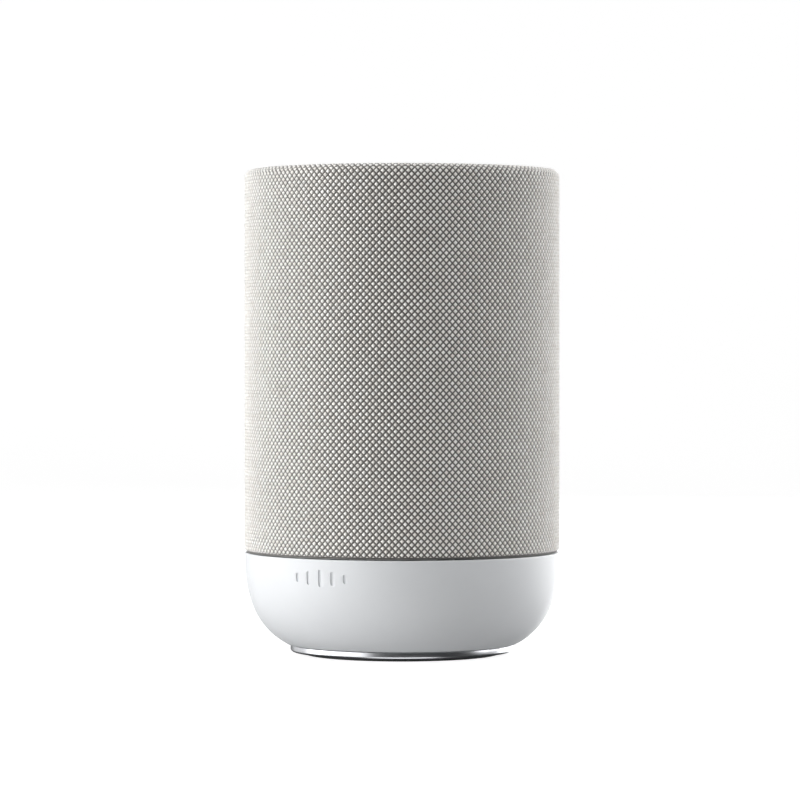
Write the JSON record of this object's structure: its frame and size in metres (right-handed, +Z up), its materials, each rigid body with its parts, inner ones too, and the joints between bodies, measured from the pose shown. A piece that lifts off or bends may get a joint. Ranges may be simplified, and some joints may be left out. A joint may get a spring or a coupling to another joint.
{
  "type": "smart speaker",
  "caption": "Cylindrical tabletop smart speaker with a woven fabric sleeve, bowl-shaped base, metal foot ring, top keys and a rear socket recess.",
  "frame": {"origin": "on the ground below the middle of the body", "axes": "+Z up along the body, -Y towards the drivers and the listener, +Y towards the sockets"},
  "size_m": [0.14, 0.14, 0.215],
  "materials": {
    "sleeve_fabric": "woven, matte",
    "shell_plastic": "fine matte",
    "key_plastic": "satin",
    "frame_plastic": "matte",
    "socket_plastic": "satin",
    "rubber": "matte",
    "ring_metal": "satin",
    "steel": "zinc plated",
    "contact_metal": "plated",
    "sink_aluminium": "extruded",
    "ferrite": "sintered",
    "coil_copper": "enamelled wire",
    "cone_paper": "pressed pulp",
    "spider_cloth": "resin-set cloth",
    "dome_silk": "coated silk",
    "circuit_board": "solder mask",
    "ribbon_film": "polyimide film",
    "capacitor_sleeve": "shrink sleeve",
    "light_pipe": "clear"
  },
  "bodies": {
    "root": {"fabric_sleeve": "sleeve_fabric", "grille_frame": "frame_plastic", "seam_gasket": "rubber", "base_shell": "shell_plastic", "foot_ring": "ring_metal", "bottom_plate": "frame_plastic", "foot_pad": "rubber", "bottom_screw_1": "steel", "bottom_screw_2": "steel", "bottom_screw_3": "steel", "bottom_screw_4": "steel", "top_plate": "shell_plastic", "status_light_pipe": "light_pipe", "control_board": "circuit_board", "control_ribbon": "ribbon_film", "microphone_left": "contact_metal", "microphone_right": "contact_metal", "enclosure_body": "frame_plastic", "enclosure_lid": "frame_plastic", "woofer_basket": "steel", "woofer_surround": "rubber", "woofer_spider": "spider_cloth", "woofer_front_plate": "steel", "woofer_magnet": "ferrite", "woofer_yoke": "steel", "tweeter_left_housing": "frame_plastic", "tweeter_right_housing": "frame_plastic", "rear_panel": "shell_plastic", "power_inlet": "socket_plastic", "inlet_pin_left": "contact_metal", "inlet_pin_right": "contact_metal", "usb_c_shell": "contact_metal", "usb_c_tongue": "socket_plastic", "aux_jack": "socket_plastic", "io_board": "circuit_board", "main_board": "circuit_board", "heat_sink": "sink_aluminium", "power_board": "circuit_board", "transformer": "ferrite", "bulk_capacitor": "capacitor_sleeve", "tact_switch_play": "frame_plastic", "tact_switch_volume_down": "frame_plastic", "tact_switch_volume_up": "frame_plastic", "tact_switch_preset_1": "frame_plastic", "tact_switch_preset_2": "frame_plastic", "tact_switch_preset_3": "frame_plastic"},
    "key_play": {"key_play": "key_plastic"},
    "key_volume_down": {"key_volume_down": "key_plastic"},
    "key_volume_up": {"key_volume_up": "key_plastic"},
    "key_preset_1": {"key_preset_1": "key_plastic"},
    "key_preset_2": {"key_preset_2": "key_plastic"},
    "key_preset_3": {"key_preset_3": "key_plastic"},
    "pair_button": {"pair_button": "key_plastic"},
    "mic_switch_knob": {"mic_switch_knob": "key_plastic"},
    "woofer_moving": {"woofer_cone": "cone_paper", "woofer_dust_cap": "cone_paper", "woofer_voice_coil": "coil_copper"},
    "tweeter_left_moving": {"tweeter_left_dome": "dome_silk"},
    "tweeter_right_moving": {"tweeter_right_dome": "dome_silk"}
  },
  "joints": [
    {"name": "key_play_press", "type": "slide", "parent": "root", "child": "key_play", "axis": [0, 0, -1], "range_m": [0, 0.0007], "stiffness_N_per_m": 400, "springref_m": -0.0005},
    {"name": "key_volume_down_press", "type": "slide", "parent": "root", "child": "key_volume_down", "axis": [0, 0, -1], "range_m": [0, 0.0007], "stiffness_N_per_m": 400, "springref_m": -0.0005},
    {"name": "key_volume_up_press", "type": "slide", "parent": "root", "child": "key_volume_up", "axis": [0, 0, -1], "range_m": [0, 0.0007], "stiffness_N_per_m": 400, "springref_m": -0.0005},
    {"name": "key_preset_1_press", "type": "slide", "parent": "root", "child": "key_preset_1", "axis": [0, 0, -1], "range_m": [0, 0.0007], "stiffness_N_per_m": 400, "springref_m": -0.0005},
    {"name": "key_preset_2_press", "type": "slide", "parent": "root", "child": "key_preset_2", "axis": [0, 0, -1], "range_m": [0, 0.0007], "stiffness_N_per_m": 400, "springref_m": -0.0005},
    {"name": "key_preset_3_press", "type": "slide", "parent": "root", "child": "key_preset_3", "axis": [0, 0, -1], "range_m": [0, 0.0007], "stiffness_N_per_m": 400, "springref_m": -0.0005},
    {"name": "pair_button_press", "type": "slide", "parent": "root", "child": "pair_button", "axis": [0, -1, 0], "range_m": [0, 0.0008], "stiffness_N_per_m": 400, "springref_m": -0.0005},
    {"name": "mic_switch_slide", "type": "slide", "parent": "root", "child": "mic_switch_knob", "axis": [1, 0, 0], "range_m": [0, 0.003]},
    {"name": "woofer_travel", "type": "slide", "parent": "root", "child": "woofer_moving", "axis": [0, -1, 0], "range_m": [-0.003, 0.003], "stiffness_N_per_m": 1500, "deforming": ["woofer_surround", "woofer_spider"]},
    {"name": "tweeter_left_travel", "type": "slide", "parent": "root", "child": "tweeter_left_moving", "axis": [0, -1, 0], "range_m": [-0.0003, 0.0003], "stiffness_N_per_m": 3000},
    {"name": "tweeter_right_travel", "type": "slide", "parent": "root", "child": "tweeter_right_moving", "axis": [0, -1, 0], "range_m": [-0.0003, 0.0003], "stiffness_N_per_m": 3000}
  ]
}
